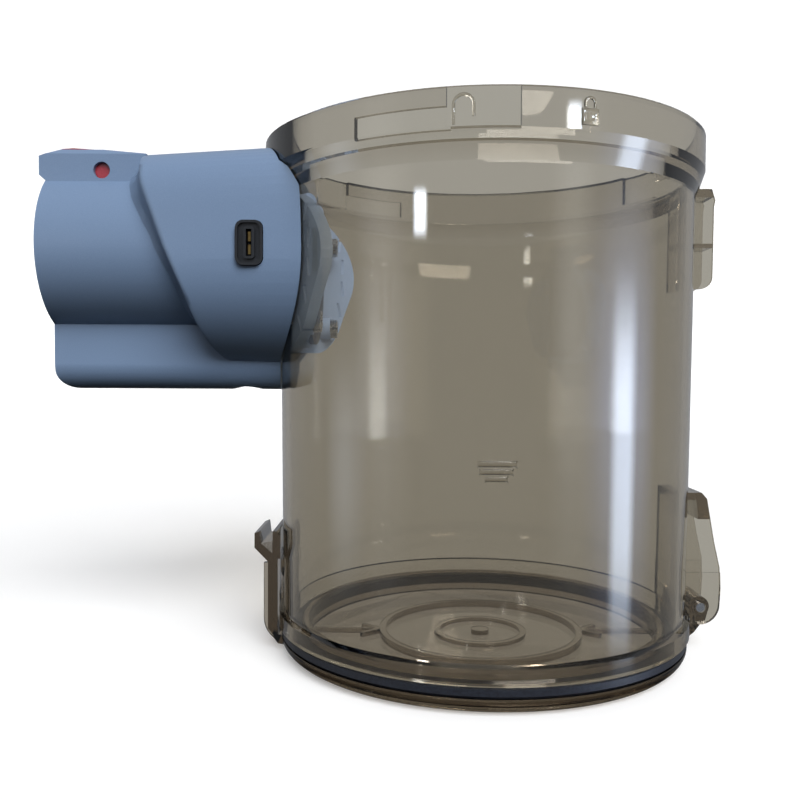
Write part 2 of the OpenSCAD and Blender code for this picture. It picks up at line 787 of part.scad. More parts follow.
// Outline of the ring in YZ: a rounded shield, cut for the air
module ring_outline() {
    h = ring_top - ring_foot;
    hull() {
        for (y = [-1, 1]) {
            translate([y * (ring_w - 15), ring_foot + h * 0.62]) circle(15, $fn = 48);
            translate([y * (ring_w - 17), ring_foot + 13]) circle(13, $fn = 48);
        }
        translate([0, ring_foot + h / 2]) square([2 * ring_w - 34, h], center = true);
    }
}

module ring_slots() {
    for (side = [-1, 1], i = [-2:2])
        translate([-60, side * (28.6 - 0.62 * pow(i - 0.6, 2)), port_z + 0.8 + 6.4 * i])
            rotate([-side * (i - 0.6) * 9, 0, 0])
                translate([0, -0.5, -2.2]) cube([30, 1, 4.4]);
}

module port_ring() {
    head_seat = -port_x - wall_t - 8.6;
    color(satin_blue)
        difference() {
            union() {
                intersection() {
                    difference() {
                        rotate_extrude($fn = 180) inner_outline(2 * push_gap);
                        rotate_extrude($fn = 180) inner_outline(2 * push_gap + ring_t);
                    }
                    cross_section(-60, -30) ring_outline();
                }
                // seat of the flap, sleeve through the wall, and a pad under each screw head
                intersection() {
                    union() {
                        rod_x(port_r + 1.8, port_x + 0.8, seat_x, 0, port_z);
                        at_screws() rod_x(3.2, port_x + 0.8, -head_seat, 0, 0);
                    }
                    rotate_extrude($fn = 180) inner_outline(2 * push_gap);
                }
                intersection() {
                    rod_x(port_r + 1.4, -60, seat_x, 0, port_z);
                    rotate_extrude($fn = 180) cup_outline();
                }
                flap_ears();
            }
            rod_x(port_r, -70, -30, 0, port_z);
            at_screws() rod_x(screw_r + 0.2, -70, -30, 0, 0);
            ring_slots();
            rod_y(flap_pin_r + run_gap, -12, 12, flap_pin_x, flap_pin_z);
        }
}

module flap_ears() {
    ear = 1.6;
    for (side = [-1, 1])
        translate([0, side * (flap_w + 0.4 + ear / 2), 0])
            side_plate(-ear / 2, ear / 2)
                hull() {
                    translate([flap_pin_x, flap_pin_z]) circle(2, $fn = 32);
                    translate([seat_x - 4.1, flap_pin_z - 4]) square([3.6, 4.5]);
                }
}

module port_screws() {
    head_seat = -port_x - wall_t - 8.6;
    color("silver")
        at_screws() {
            difference() {
                rod_x(2.6, -head_seat + 0.05, -head_seat + 1.85, 0, 0);
                translate([-head_seat + 1, -1.8, -0.35]) cube([2, 3.6, 0.7]);
                translate([-head_seat + 1, -0.35, -1.8]) cube([2, 0.7, 3.6]);
            }
            rod_x(screw_r - 0.25, port_x - 2.7, -head_seat + 0.1, 0, 0);
        }
}

module inlet_flap() {
    flap_t = 1.4;
    color([0.12, 0.12, 0.13])
        difference() {
            union() {
                rod_x(port_r + 0.9, seat_x + 0.1, seat_x + 0.1 + flap_t, 0, port_z);
                translate([seat_x + 0.1, -flap_w, port_z + 8])
                    cube([flap_t, 2 * flap_w, flap_pin_z - port_z - 8]);
                rod_y(1.6, -flap_w, flap_w, flap_pin_x, flap_pin_z);
            }
            rod_y(flap_pin_r + run_gap, -flap_w - 1, flap_w + 1, flap_pin_x, flap_pin_z);
        }
}

module flap_pin() {
    half = flap_w + 2;
    color("silver") rod_y(flap_pin_r, -half, half, flap_pin_x, flap_pin_z);
}

// Lip seal that the wand's end presses against
module wand_seal() {
    color([0.1, 0.1, 0.11])
        translate([socket_end_x + 0.1, 0, axis_z])
            rotate([0, 90, 0])
                rotate_extrude()
                    polygon([[socket_r - 0.8, 0.2], [socket_r - 0.8, 2.8], [socket_r - 2.2, 2.8],
                        [socket_r - 2.2, 1.4], [socket_r - 3, 0], [socket_r - 2.4, 0]]);
}

// Release button: a rocker with two trunnions, a pad and a catch

pad_z = axis_z + 22.9;
pad_x = mouth_x + 2.2;
spring_x = mouth_x + 5.8;
module release_button() {
    inner = block_w - cheek_t - 0.3;
    color([0.72, 0.1, 0.12])
        difference() {
            union() {
                // the pad stands proud in front and falls to the housing's top at the hub
                side_plate(-inner, inner)
                    polygon([[pad_x, pad_z], [pad_x, pad_z + 0.7], [pad_x + 1.2, pad_z + 1.3],
                        [pad_x + 4, pad_z + 1.5], [pad_x + 9, pad_z + 1.2],
                        [hub_end, block_top - 0.3], [hub_end, pad_z - 1.2], [trunnion_x - 3, pad_z - 1.2],
                        [trunnion_x - 4, pad_z]]);
                // the skirts that carry the trunnions
                for (side = [-1, 1])
                    translate([trunnion_x - 2.6, side * (inner - 0.75) - 0.75, axis_z + 19.1])
                        cube([5.2, 1.5, 3.2]);
                for (side = [-1, 1])
                    intersection() {
                        rod_y(trunnion_r, side * 12 - 1.3, side * 12 + 1.3, trunnion_x, trunnion_z);
                        translate([-150, -block_w + 1.2, 0]) cube([150, 2 * (block_w - 1.2), 200]);
                    }
                catch_arm();
            }
            // seat of the spring
            translate([spring_x, 0, pad_z - 1]) cylinder(r = 2.9, h = 1.6);
        }
}

// The arm and its tooth reach through the slot in the barrel, just clear of the wand's way
module catch_arm() {
    z = axis_z + 19.2;
    side_plate(-catch_w, catch_w)
        polygon([[trunnion_x - 1.4, z], [trunnion_x - 1.4, z + 3], [trunnion_x + 1.6, z + 3],
            [trunnion_x + 1.8, z + 1.6], [catch_end, z + 1.6], [catch_end, axis_z + socket_r + 0.35],
            [catch_end - 1.2, axis_z + socket_r + 0.15], [catch_end - 3, z]]);
}

// Eight-sided wire of radius r along a path
function unit(v) = v / norm(v);
module tube(path, r) {
    n = len(path);
    rings = [for (i = [0:n - 1])
        let (d = unit(path[min(i + 1, n - 1)] - path[max(i - 1, 0)]),
            u = unit(cross([1, 1, -1], d)), v = cross(d, u))
        [for (k = [0:7]) path[i] + (u * cos(45 * k) + v * sin(45 * k)) * r]];
    points = [for (q = rings, p = q) p];
    sides = [for (j = [0:n - 2], k = [0:7], h = [0, 1])
        let (a = j * 8 + k, b = j * 8 + (k + 1) % 8) h == 0 ? [a, b + 8, b] : [a, a + 8, b + 8]];
    polyhedron(points, concat([[for (k = [0:7]) k]], sides, [[for (k = [7:-1:0]) (n - 1) * 8 + k]]));
}

// Compression spring under the pad
module button_spring() {
    turns = 3.5;
    coil_r = 2.1;
    steps = 14;
    foot = axis_z + socket_r + 1.15 + spring_wire / 2;
    top = pad_z + 0.55 - spring_wire / 2;
    count = turns * steps;
    color("silver")
        tube([for (i = [0:count]) let (a = 360 * i / steps)
            [spring_x + coil_r * cos(a), coil_r * sin(a), foot + (top - foot) * i / count]],
            spring_wire / 2);
}

// Contacts for a powered wand, at the tunnel's mouth

block_depth = 11;
contact_y = 3.6;
contact_r = 0.9;
contact_z = cavity_z + cavity_h / 2;
module at_contacts() {
    for (side = [-1, 1]) translate([0, side * contact_y, contact_z]) children();
}

module contact_block() {
    color([0.09, 0.1, 0.12])
        difference() {
            translate([mouth_x + 0.8, -cavity_w + push_gap, cavity_z + push_gap])
                cube([block_depth, 2 * (cavity_w - push_gap), cavity_h - 2 * push_gap]);
            at_contacts() rod_x(1.5, mouth_x - 1, mouth_x + 6.8, 0, 0);
            at_contacts() rod_x(contact_r + 0.02, mouth_x - 1, mouth_x + 20, 0, 0);
        }
}

module contact_pins() {
    color("gold") at_contacts() rod_x(contact_r, mouth_x + 1.4, mouth_x + block_depth + 3, 0, 0);
}

// A path with its corners rounded off
function bent(p, r, n = 3) = [p[0],
    for (i = [1:len(p) - 2])
        let (a = p[i - 1] - p[i], b = p[i + 1] - p[i],
            s = p[i] + a * min(r / norm(a), 0.49), e = p[i] + b * min(r / norm(b), 0.49))
        for (k = [0:n]) let (t = k / n) s * pow(1 - t, 2) + p[i] * 2 * t * (1 - t) + e * t * t,
    p[len(p) - 1]];

lead_r = 0.8;

// Leads from the contacts, along the tunnel and up behind the cowl's skin to the side socket
module contact_leads() {
    x0 = mouth_x + block_depth + 3.05;
    back = side_y + 6.6;
    cross_z = cavity_z + cavity_h - 1.3;
    xa = port_x - 9;
    xb = xa + 2.2;
    color([0.2, 0.2, 0.22]) {
        tube(bent([[x0, -contact_y, contact_z], [xa - 0.7, -contact_y, contact_z],
            [xa, -contact_y - 2, cross_z], [xa, -11, cross_z + 0.5], [xa, -18.8, axis_z - 16.6],
            [xa, back, axis_z - 9.6], [-side_in - 2.5, back, axis_z - 5.6],
            [-side_in - 2.5, back, side_z + 1.5], [-side_in - 0.35, back, side_z + 1.5]], 2.5), lead_r);
        tube(bent([[x0, contact_y, contact_z], [xb - 0.7, contact_y, contact_z],
            [xb, contact_y - 2, cross_z], [xb, -11, cross_z + 0.5], [xb, -18.8, axis_z - 16.6],
            [xb, back, axis_z - 11.6], [-side_in + 2.5, back, axis_z - 6.6],
            [-side_in + 2.5, back, side_z - 1.5], [-side_in + 0.35, back, side_z - 1.5]], 2.5), lead_r);
    }
}

bin_shell();
bottom_lid();
lid_seal();
hinge_pin();
inlet_housing();
port_ring();
port_gasket();
port_screws();
inlet_flap();
flap_pin();
wand_seal();
release_button();
button_spring();
side_socket();
socket_contacts();
contact_block();
contact_pins();
contact_leads();
under_cover();
cover_screws();
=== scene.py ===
# %% [markdown]
# # A clear dust cup with a painted coupling
#
# The dust cup of a stick vacuum is moulded from clear smoke plastic. A satin coupling for the wand
# is screwed to its side, and a lid with a rubber seal closes its foot. The solids come ready made
# from the CAD frame, so Blender's work is their finish: how each plastic lets light through, how
# satin paint scatters it, and the few raised marks that are too small for the solids.
#
# The first cell loads the frame.

# %% Load the frame
import math

import bpy
from mathutils import Matrix, Vector


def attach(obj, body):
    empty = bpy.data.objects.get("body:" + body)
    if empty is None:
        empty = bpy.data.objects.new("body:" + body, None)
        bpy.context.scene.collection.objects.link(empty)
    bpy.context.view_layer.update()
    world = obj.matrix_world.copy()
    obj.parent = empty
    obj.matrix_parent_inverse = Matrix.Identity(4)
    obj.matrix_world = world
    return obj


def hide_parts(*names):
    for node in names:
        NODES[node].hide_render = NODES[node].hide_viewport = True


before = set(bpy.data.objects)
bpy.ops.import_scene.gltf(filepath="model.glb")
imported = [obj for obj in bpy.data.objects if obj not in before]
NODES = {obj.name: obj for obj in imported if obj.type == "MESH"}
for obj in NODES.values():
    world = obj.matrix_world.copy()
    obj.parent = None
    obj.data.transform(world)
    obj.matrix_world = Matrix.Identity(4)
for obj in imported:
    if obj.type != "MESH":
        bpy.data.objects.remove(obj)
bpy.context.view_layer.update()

MM = 0.001

# %% [markdown]
# ## The camera
#
# The photograph was taken from close by, almost level with the middle of the cup, so its rims open
# into wide ellipses. The place of the camera was found by fitting the cup's rims and flange to the
# picture. A lens is set by its width of view: 860 pixels of focal length on a picture 800 wide is
# a 38.7 mm lens on Blender's 36 mm sensor. The camera looks slightly down and is rolled a little.

# %% Camera
SENSOR = 36.0
FOCAL_SHARE = 860.0 / 800.0
# nothing nearer to the lens than this, in metres, is drawn
NEAREST = 0.01
EYE = Vector((-21.677, -228.165, 72.186)) * MM
PITCH = -0.034
ROLL = 0.0053


def camera_axes(pitch, roll):
    """Right, up and forward directions of a camera that looks along +Y."""
    forward = Vector((0.0, math.cos(pitch), math.sin(pitch)))
    level = Vector((1.0, 0.0, 0.0))
    upright = level.cross(forward)
    right = level * math.cos(roll) + upright * math.sin(roll)
    up = upright * math.cos(roll) - level * math.sin(roll)
    return right, up, forward


lens = bpy.data.cameras.new("photo_camera")
lens.sensor_width = SENSOR
lens.lens = SENSOR * FOCAL_SHARE
lens.clip_start = NEAREST
camera = bpy.data.objects.new("photo_camera", lens)
right, up, forward = camera_axes(PITCH, ROLL)
turn = Matrix((right, up, -forward)).transposed()
camera.matrix_world = Matrix.Translation(EYE) @ turn.to_4x4()
bpy.context.scene.collection.objects.link(camera)
bpy.context.scene.camera = camera
print("lens:", round(lens.lens, 2), "mm, eye at", [round(value, 4) for value in EYE])

# %% [markdown]
# ## Helpers for materials
#
# Colours are written as the hex values that a paint program shows. Blender's shaders want linear
# light, so one function turns a hex value into it. A second function adds a node, sets its values
# and links its inputs, which keeps each material a short list of nodes. Two more wrap the nodes
# that come up again and again: one that moves a value from its range to another, and one that
# mixes two shaders. The last gives solids of the frame their material.

# %% Colour and node helpers
def linear(hex_colour):
    """Linear RGBA of an sRGB colour such as "#6F849F"."""
    values = [int(hex_colour[i:i + 2], 16) / 255.0 for i in (1, 3, 5)]
    curve = [v / 12.92 if v <= 0.04045 else ((v + 0.055) / 1.055) ** 2.4 for v in values]
    return (*curve, 1.0)


def add(tree, kind, values=None, links=None, **settings):
    """Adds one node, with its settings, the values of its inputs and what is linked to them."""
    made = tree.nodes.new("ShaderNode" + kind)
    for name, value in settings.items():
        setattr(made, name, value)
    for socket, value in (values or {}).items():
        made.inputs[socket].default_value = value
    for socket, source in (links or {}).items():
        tree.links.new(source, made.inputs[socket])
    return made


def new_material(name):
    """An empty node material, and its tree."""
    material = bpy.data.materials.new(name)
    material.use_nodes = True
    material.node_tree.nodes.clear()
    return material, material.node_tree


def remap(tree, source, came_from, goes_to):
    """Turns one range of a value into another, and returns the new value."""
    node = add(tree, "MapRange",
               {"From Min": came_from[0], "From Max": came_from[1],
                "To Min": goes_to[0], "To Max": goes_to[1]}, {"Value": source})
    return node.outputs["Result"]


def mix_shaders(tree, share, first, second):
    """The first shader where the share is 0, and the second where it is 1."""
    return add(tree, "MixShader", None, {0: share, 1: first, 2: second}).outputs["Shader"]


def finish_nodes(material, *node_names):
    """Gives CAD nodes their material."""
    for node_name in node_names:
        slots = NODES[node_name].data.materials
        slots.clear()
        slots.append(material)
    print(material.name, "on", ", ".join(node_names))


print("linear #808080:", round(linear("#808080")[0], 4))

# %% [markdown]
# ## Smoke polycarbonate
#
# Cup and lid are injection moulded from transparent polycarbonate with a brown smoke dye. Its
# index of refraction is 1.585. The mould is polished, so the surface is almost a mirror, but a
# moulded wall is never perfectly even: it has slow waves, a few centimetres long, that bend the
# highlights a little, and a light haze from handling in patches of about 8 mm. The dye sits in the
# plastic, so thick parts such as the lugs are darker than the wall. That is a volume absorption,
# in colour per metre.
#
# Light that has to pass two walls of real glass finds few lamps by chance, so a shadow ray is let
# straight through with the colour of the wall. The picture gets far less noise for it.

# %% Material: smoke polycarbonate
WALL_TINT = "#E4E1D9"
LID_TINT = "#C4BDB4"
SMOKE = "#B4A68F"
SMOKE_PER_METRE = 180.0
POLYCARBONATE_IOR = 1.585
# lengths in metres
WAVE_LENGTH = 0.025
WAVE_HEIGHT = 0.00006
WAVE_STRENGTH = 0.35
HAZE_PATCH = 0.008
# this part of the noise runs over these roughnesses
HAZE_SHARE = (0.3, 0.8)
HAZE_ROUGHNESS = (0.0125, 0.04)


def clear_plastic(name, tint):
    """Polished transparent plastic, dyed in the mass."""
    material, tree = new_material(name)
    place = add(tree, "TexCoord").outputs["Object"]
    waves = add(tree, "TexNoise", {"Scale": 1 / WAVE_LENGTH, "Detail": 1.0}, {"Vector": place})
    ripple = add(tree, "Bump", {"Strength": WAVE_STRENGTH, "Distance": WAVE_HEIGHT},
                 {"Height": waves.outputs["Fac"]})
    patches = add(tree, "TexNoise", {"Scale": 1 / HAZE_PATCH, "Detail": 4.0}, {"Vector": place})
    rough = remap(tree, patches.outputs["Fac"], HAZE_SHARE, HAZE_ROUGHNESS)
    body = add(tree, "BsdfPrincipled",
               {"Base Color": linear(tint), "IOR": POLYCARBONATE_IOR, "Transmission Weight": 1.0},
               {"Roughness": rough, "Normal": ripple.outputs["Normal"]})
    straight = add(tree, "BsdfTransparent", {"Color": linear(tint)})
    ray = add(tree, "LightPath")
    surface = mix_shaders(tree, ray.outputs["Is Shadow Ray"], body.outputs["BSDF"],
                          straight.outputs["BSDF"])
    dye = add(tree, "VolumeAbsorption", {"Color": linear(SMOKE), "Density": SMOKE_PER_METRE})
    add(tree, "OutputMaterial", None, {"Surface": surface, "Volume": dye.outputs["Volume"]})
    return material


polycarbonate = clear_plastic("smoke_polycarbonate_polished", WALL_TINT)
# the lid's plastic is given a little darker tint than the cup's
lid_polycarbonate = clear_plastic("smoke_polycarbonate_lid", LID_TINT)
finish_nodes(polycarbonate, "bin_shell")
finish_nodes(lid_polycarbonate, "bottom_lid")

# %% [markdown]
# ## Satin painted ABS
#
# The coupling is moulded from ABS and has a blue grey satin coat with fine metal flakes in it.
# The flakes make single points slightly lighter or darker, and the satin surface spreads a
# highlight wide. The paint flakes are about 0.05 mm, too fine to show, so the speckle is drawn at
# 0.22 mm. A second, slow noise varies the gloss as spraying does. The ring inside the cup is the
# same blue grey plastic, given a much lighter colour as painted light, since it stands in shade
# behind the wall.

# %% Materials: satin coat, and the ring lightened by painted light
PLASTIC_IOR = 1.53
GRAIN_STRENGTH = 0.4
# these parts of the two noises run over the colours and over the roughnesses
SPECKLE_SHARE = (0.35, 0.70)
GLOSS_SHARE = (0.30, 0.75)


def moulded(name, colour, light_colour, grain_mm, grain_depth_mm, rough, patch_mm=9.0):
    """Opaque plastic with a fine grain, an uneven gloss and a slight speckle of colour."""
    material, tree = new_material(name)
    place = add(tree, "TexCoord").outputs["Object"]
    grain = add(tree, "TexNoise", {"Scale": 1 / (grain_mm * MM), "Detail": 2.0},
                {"Vector": place})
    speckle = remap(tree, grain.outputs["Fac"], SPECKLE_SHARE, (0.0, 1.0))
    hue = add(tree, "Mix", {6: linear(colour), 7: linear(light_colour)}, {0: speckle},
              data_type="RGBA")
    patches = add(tree, "TexNoise", {"Scale": 1 / (patch_mm * MM), "Detail": 3.0},
                  {"Vector": place})
    gloss = remap(tree, patches.outputs["Fac"], GLOSS_SHARE, rough)
    bump = add(tree, "Bump", {"Strength": GRAIN_STRENGTH, "Distance": grain_depth_mm * MM},
               {"Height": grain.outputs["Fac"]})
    body = add(tree, "BsdfPrincipled", {"IOR": PLASTIC_IOR},
               {"Base Color": hue.outputs[2], "Roughness": gloss,
                "Normal": bump.outputs["Normal"]})
    add(tree, "OutputMaterial", None, {"Surface": body.outputs["BSDF"]})
    return material


satin = moulded("satin_coated_abs", "#6A7F9C", "#7085A1", 0.22, 0.005, (0.36, 0.42))
# the ring's lighter colour is painted light: it stands in shade behind the cup's wall
ring_abs_lightened = moulded("ring_abs_painted_light", "#8EA4C6", "#98ACCB", 0.40, 0.006, (0.38, 0.50))
finish_nodes(satin, "inlet_housing", "under_cover")
finish_nodes(ring_abs_lightened, "port_ring")

# %% [markdown]
# ## Red acetal, black nylon and the sheath of the leads
#
# The rocker button is moulded in red acetal, a slippery plastic with a soft sheen. The small
# socket and the contact block are black nylon with a fine eroded grain that hides scratches. The
# leads have a smooth PVC sheath. All three are the same kind of surface with other numbers.

# %% Materials: button, socket and leads
acetal = moulded("red_acetal", "#8E2C37", "#9A3843", 0.30, 0.008, (0.26, 0.36))
nylon = moulded("black_nylon_grained", "#17191C", "#22252A", 0.25, 0.020, (0.42, 0.55))
sheath = moulded("pvc_sheath", "#1E1E21", "#29292D", 0.50, 0.004, (0.35, 0.45))
finish_nodes(acetal, "release_button")
finish_nodes(nylon, "side_socket", "contact_block")
finish_nodes(sheath, "contact_leads")

# %% [markdown]
# ## Silicone rubber
#
# The seals are blue black silicone. It is smooth where the mould was polished, but it draws dust,
# which shows as a faint lighter bloom in patches and makes the sheen uneven.

# %% Material: silicone
rubber = moulded("silicone_rubber", "#1B1D24", "#262A33", 0.60, 0.010, (0.30, 0.50), 5.0)
finish_nodes(rubber, "lid_seal", "port_gasket", "inlet_flap", "wand_seal")

# %% [markdown]
# ## Zinc plated steel and dull brass
#
# Pins, screws and the spring are steel with a bright zinc coat. Drawn wire and turned pins keep
# fine lines, so the gloss varies in thin streaks. The contacts are brass that has gone dull.
# A metal is the one surface where the colour belongs to the reflection.

# %% Materials: metals
# the streaks are drawn out along Y
STREAK_STRETCH = (1.0, 0.15, 1.0)


def plated(name, colour, dull_colour, streak_mm, rough):
    """Plated metal with fine streaks of duller plate."""
    material, tree = new_material(name)
    place = add(tree, "TexCoord").outputs["Object"]
    stretch = add(tree, "Mapping", {"Scale": STREAK_STRETCH}, {"Vector": place})
    streaks = add(tree, "TexNoise", {"Scale": 1 / (streak_mm * MM), "Detail": 3.0},
                  {"Vector": stretch.outputs["Vector"]})
    hue = add(tree, "Mix", {6: linear(colour), 7: linear(dull_colour)},
              {0: streaks.outputs["Fac"]}, data_type="RGBA")
    gloss = remap(tree, streaks.outputs["Fac"], (0.0, 1.0), rough)
    body = add(tree, "BsdfPrincipled", {"Metallic": 1.0},
               {"Base Color": hue.outputs[2], "Roughness": gloss})
    add(tree, "OutputMaterial", None, {"Surface": body.outputs["BSDF"]})
    return material


zinc = plated("zinc_plated_steel", "#C9CCD0", "#9A9EA3", 0.4, (0.18, 0.38))
brass = plated("tarnished_brass", "#A8905A", "#7A6540", 0.5, (0.25, 0.42))
finish_nodes(zinc, "hinge_pin", "port_screws", "flap_pin", "button_spring", "cover_screws")
finish_nodes(brass, "socket_contacts", "contact_pins")

# %% [markdown]
# ## The rounded lip of the cowl
#
# The cowl ends toward the barrel in an S-shaped edge with a hollow in front of it. The solid's edge
# is sharp. The mould has a radius there and the coat rounds it more, which draws a soft light along
# the lip. So a copy of the solid is merged, and a Bevel modifier with four segments rounds the
# edges that are weighted for it. The weights are found in code: a lip edge joins a face that looks
# sideways with one that looks ahead, and it stands off the barrel and the button's block. Then
# faces that meet at less than 22 degrees are shaded as one, with Weighted Normal so that large
# faces stay even, and the loft's cells flow into each other. The copy rides on the cup and
# replaces the solid.

# %% Coupling with its rounded lip
LIP_RADIUS = 0.6 * MM
LIP_SEGMENTS = 4
SHARP = math.radians(35.0)
SMOOTH_BELOW = math.radians(22.0)
MERGE_SOLID = 0.002 * MM
BARREL_AXIS_Z = 102.8 * MM
OFF_BARREL = 22.6 * MM
OFF_BLOCK = 15.0 * MM
LIP_FRONT_X = -98.0 * MM
LIP_BACK_X = -60.0 * MM
# how far the normals of the two faces lean sideways and ahead, 1 or -1 being straight
SIDEWAYS_FROM = 0.8
AHEAD_FROM = -0.97
AHEAD_TO = -0.25


def deselect():
    """Nothing is selected afterwards, and no object is in edit mode."""
    if bpy.context.object and bpy.context.object.mode != "OBJECT":
        bpy.ops.object.mode_set(mode="OBJECT")
    bpy.ops.object.select_all(action="DESELECT")


def make_active(piece):
    """Only this object is selected, and it is the active one."""
    deselect()
    piece.select_set(True)
    bpy.context.view_layer.objects.active = piece


def edge_normals(mesh):
    """For each edge of a mesh, the normals of the faces that meet at it."""
    found = {}
    for face in mesh.polygons:
        for key in face.edge_keys:
            found.setdefault(key, []).append(face.normal)
    return found


def on_lip(middle, normals):
    """Whether an edge belongs to the S-shaped lip: a face sideways, one ahead, off the barrel."""
    if len(normals) != 2 or normals[0].angle(normals[1], 0.0) < SHARP:
        return False
    side = max(abs(normal.y) for normal in normals)
    ahead = min(normal.x for normal in normals)
    off_axis = math.hypot(middle.y, middle.z - BARREL_AXIS_Z)
    return (LIP_FRONT_X < middle.x < LIP_BACK_X and abs(middle.y) > OFF_BLOCK
            and off_axis > OFF_BARREL and side > SIDEWAYS_FROM
            and AHEAD_FROM < ahead < AHEAD_TO)


def weigh_lip(mesh):
    """Gives the edges of the lip their bevel weight, and returns how many there are."""
    weights = mesh.attributes.new("bevel_weight_edge", "FLOAT", "EDGE").data
    found = edge_normals(mesh)
    count = 0
    for edge in mesh.edges:
        ends = [mesh.vertices[i].co for i in edge.vertices]
        if on_lip((ends[0] + ends[1]) / 2, found[edge.key]):
            weights[edge.index].value = 1.0
            count += 1
    return count


coupling = bpy.data.objects.new("inlet_housing_soft", NODES["inlet_housing"].data.copy())
bpy.context.scene.collection.objects.link(coupling)
make_active(coupling)
if coupling.data.has_custom_normals:
    bpy.ops.mesh.customdata_custom_splitnormals_clear()
bpy.ops.object.mode_set(mode="EDIT")
bpy.ops.mesh.select_all(action="SELECT")
bpy.ops.mesh.remove_doubles(threshold=MERGE_SOLID)
bpy.ops.object.mode_set(mode="OBJECT")
lip_edges = weigh_lip(coupling.data)
rounding = coupling.modifiers.new("rounding", "BEVEL")
rounding.width = LIP_RADIUS
rounding.segments = LIP_SEGMENTS
rounding.limit_method = "WEIGHT"
rounding.use_clamp_overlap = False
bpy.ops.object.modifier_apply(modifier="rounding")
bpy.ops.object.shade_smooth_by_angle(angle=SMOOTH_BELOW)
even = coupling.modifiers.new("even", "WEIGHTED_NORMAL")
even.keep_sharp = True
bpy.ops.object.modifier_apply(modifier="even")
coupling.data.materials.clear()
coupling.data.materials.append(satin)
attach(coupling, "cup")
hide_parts("inlet_housing")
print(coupling.name, len(coupling.data.polygons), "faces,", lip_edges, "edges of the lip")

# %% [markdown]
# ## Raised marks on the cup
#
# Low on the front of the cup three short ridges show how full it may be, and the collar has a
# mark for open and one for locked. They are ridges a quarter of a millimetre high, part of the
# wall, and they show only because their round sides bend the light. A ridge can be made by giving
# a small profile a path: half a disc is spun about the cup's axis. Half a disc is a disc that is
# cut with bisect. The place of the wall is measured by casting a ray at the solid, so a ridge
# lies on the wall wherever it is. The ends are rounded with a bevel.

# %% Helpers: where the wall is, and how a mark is closed
# a mark starts this far off the wall, so that their faces don't share a place
RIDGE_GAP = 0.01 * MM
MERGE_MARK = 0.0005 * MM
CUP_RADIUS_MM = 53.0
# from the axis, in metres: well outside the cup
RAY_START = 0.2
MARK_SMOOTH_BELOW = math.radians(40.0)


def on_wall(arc_mm, height_mm):
    """Radius of the cup's outside, and the direction that is arc_mm right of its front."""
    angle = -math.pi / 2 + arc_mm / CUP_RADIUS_MM
    outward = Vector((math.cos(angle), math.sin(angle), 0.0))
    start = outward * RAY_START + Vector((0.0, 0.0, height_mm * MM))
    place = NODES["bin_shell"].ray_cast(start, -outward)[1]
    return Vector((place.x, place.y)).length + RIDGE_GAP, angle, outward


def along_wall(outward):
    """The level direction along the wall, to the right seen from outside."""
    return Vector((-outward.y, outward.x, 0.0))


def select_faces(piece, wanted):
    """Selects the faces whose normal passes the test, and leaves the piece in edit mode."""
    bpy.ops.object.mode_set(mode="EDIT")
    bpy.ops.mesh.select_mode(type="FACE")
    bpy.ops.mesh.select_all(action="DESELECT")
    bpy.ops.object.mode_set(mode="OBJECT")
    for face in piece.data.polygons:
        face.select = wanted(face.normal)
    bpy.ops.object.mode_set(mode="EDIT")


def seal_mesh():
    """In edit mode: merges doubled points, fills holes and turns the normals outward."""
    bpy.ops.mesh.select_all(action="SELECT")
    bpy.ops.mesh.remove_doubles(threshold=MERGE_MARK)
    bpy.ops.mesh.fill_holes(sides=0)
    bpy.ops.mesh.normals_make_consistent(inside=False)


def close_up(piece):
    """Closes a mark, and gives it its finish and its body."""
    make_active(piece)
    bpy.ops.object.mode_set(mode="EDIT")
    seal_mesh()
    bpy.ops.object.mode_set(mode="OBJECT")
    bpy.ops.object.shade_smooth_by_angle(angle=MARK_SMOOTH_BELOW)
    piece.data.materials.append(polycarbonate)
    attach(piece, "cup")
    open_sides = 2 * len(piece.data.edges) - len(piece.data.loops)
    print(piece.name, len(piece.data.polygons), "faces, open sides:", open_sides)


print("wall radius at the bars:", round(on_wall(0.0, 52.0)[0] / MM, 2), "mm")

# %% Fill bars
# from and to along the wall, height on the cup, and how tall the bar is, all in mm
BARS = {"fill_bar_top": (-5.8, 2.4, 53.1, 1.25),
        "fill_bar_middle": (-5.4, 1.6, 51.5, 1.2),
        "fill_bar_low": (-4.2, 0.5, 50.0, 1.1)}
BAR_RISE = 0.28 * MM
BAR_END_ROUND = BAR_RISE * 0.8
BAR_END_ROUND_STEPS = 3
BAR_SIDES = 24
BAR_STEPS = 10
# a face whose normal leans this far along the wall is an end
END_FACE_FROM = 0.97


def fill_bar(name, arc_from, arc_to, height, tall):
    """A ridge along the wall, from one place to another, rounded at its ends."""
    radius, start, outward = on_wall(arc_from, height)
    end = on_wall(arc_to, height)[1]
    foot = outward * radius + Vector((0.0, 0.0, height * MM))
    half_tall = tall / 2 * MM
    deselect()
    bpy.ops.mesh.primitive_circle_add(vertices=BAR_SIDES, radius=half_tall, fill_type="NGON",
                                      location=foot, rotation=(math.pi / 2, 0.0, start))
    bar = bpy.context.object
    bar.name = name
    bar.scale = (BAR_RISE / half_tall, 1.0, 1.0)
    bpy.ops.object.transform_apply(location=True, rotation=True, scale=True)
    bpy.ops.object.mode_set(mode="EDIT")
    bpy.ops.mesh.select_all(action="SELECT")
    bpy.ops.mesh.bisect(plane_co=foot, plane_no=outward, clear_inner=True, use_fill=False)
    bpy.ops.mesh.select_all(action="SELECT")
    bpy.ops.mesh.spin(steps=BAR_STEPS, angle=start - end, center=(0.0, 0.0, 0.0),
                      axis=(0.0, 0.0, 1.0))
    seal_mesh()
    along = along_wall(outward)
    select_faces(bar, lambda normal: abs(normal.dot(along)) > END_FACE_FROM)
    bpy.ops.mesh.bevel(offset=BAR_END_ROUND, segments=BAR_END_ROUND_STEPS, affect="EDGES")
    bpy.ops.object.mode_set(mode="OBJECT")
    close_up(bar)


